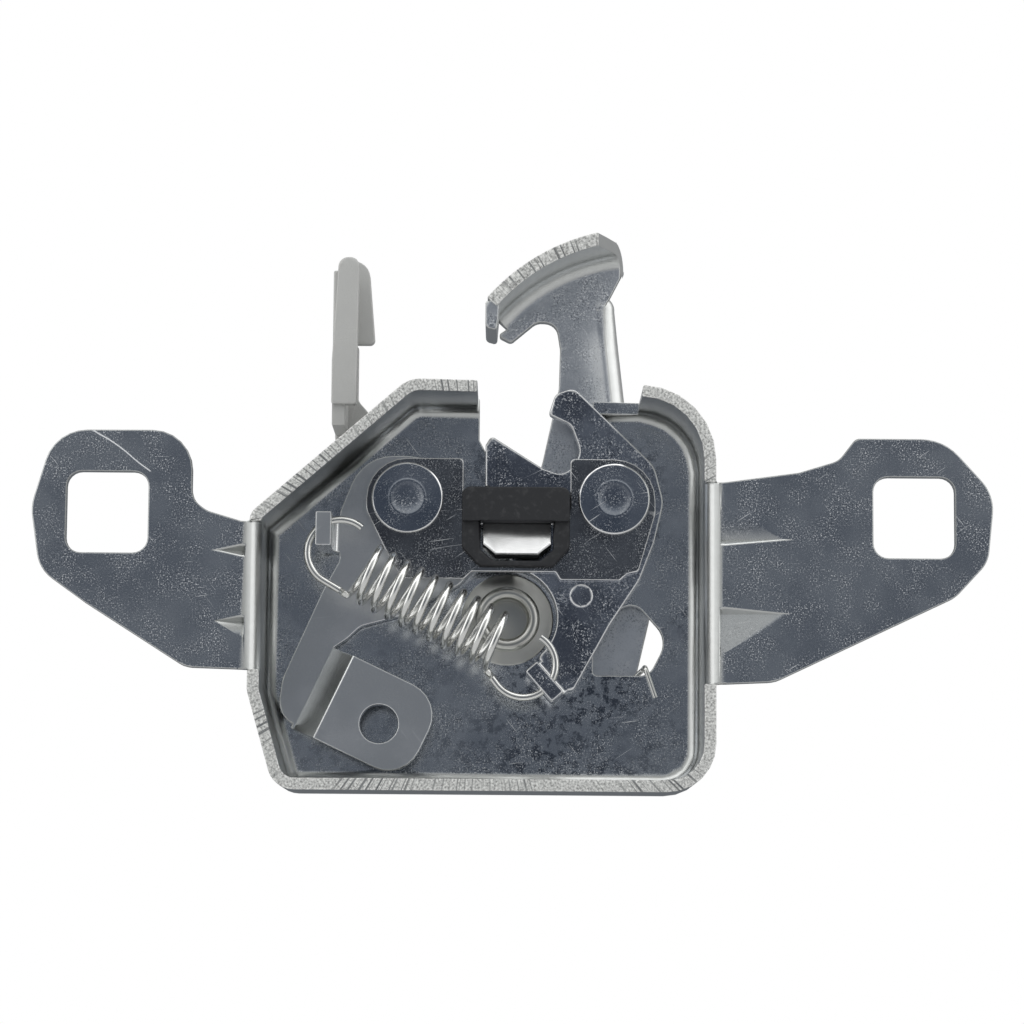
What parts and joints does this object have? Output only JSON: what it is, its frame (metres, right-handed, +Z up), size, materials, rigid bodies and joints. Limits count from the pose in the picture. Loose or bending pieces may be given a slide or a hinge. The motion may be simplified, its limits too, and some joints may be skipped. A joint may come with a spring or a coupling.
{
  "type": "bonnet latch",
  "caption": "Bonnet latch: zinc-plated pressed pan with side ears, sprung claw, release lever and safety hook.",
  "frame": {"origin": "midway between the two square fixing holes, on the front face of the ears", "axes": "+X to the right as seen from the open front, +Y from the open front to the back, +Z up"},
  "size_m": [0.1787, 0.0304, 0.1078],
  "materials": {
    "zinc_sheet": "satin",
    "zinc_plate": "satin",
    "lever_steel": "matte",
    "rivet_steel": "satin",
    "spring_wire": "polished",
    "black_rubber": "matte"
  },
  "bodies": {
    "frame": {"pan": "zinc_sheet", "bridge_plate": "zinc_plate", "rubber_bumper": "black_rubber", "claw_bush": "rivet_steel", "lever_bush": "rivet_steel", "claw_rivet": "rivet_steel", "lever_rivet": "rivet_steel", "hook_rivet": "rivet_steel", "main_spring": "spring_wire", "hook_spring": "spring_wire"},
    "claw": {"claw": "zinc_plate"},
    "release_lever": {"release_lever": "lever_steel"},
    "safety_hook": {"safety_hook": "zinc_sheet"}
  },
  "joints": [
    {"name": "claw_pivot", "type": "hinge", "parent": "frame", "child": "claw", "pos_m": [0.0196, 0.0169, 0.0046], "axis": [0, -1, 0], "range_deg": [0, 24], "stiffness_Nm_per_rad": 0.3, "springref_deg": -20.05, "deforming": ["main_spring"]},
    {"name": "release_lever_pivot", "type": "hinge", "parent": "frame", "child": "release_lever", "pos_m": [-0.0196, 0.0169, 0.0046], "axis": [0, -1, 0], "range_deg": [0, 9], "stiffness_Nm_per_rad": 0.2, "deforming": ["main_spring"]},
    {"name": "safety_hook_pivot", "type": "hinge", "parent": "frame", "child": "safety_hook", "pos_m": [-0.0005, 0.02645, -0.0177], "axis": [0, 1, 0], "range_deg": [0, 22], "stiffness_Nm_per_rad": 0.3, "springref_deg": -14.9, "deforming": ["hook_spring"]}
  ]
}
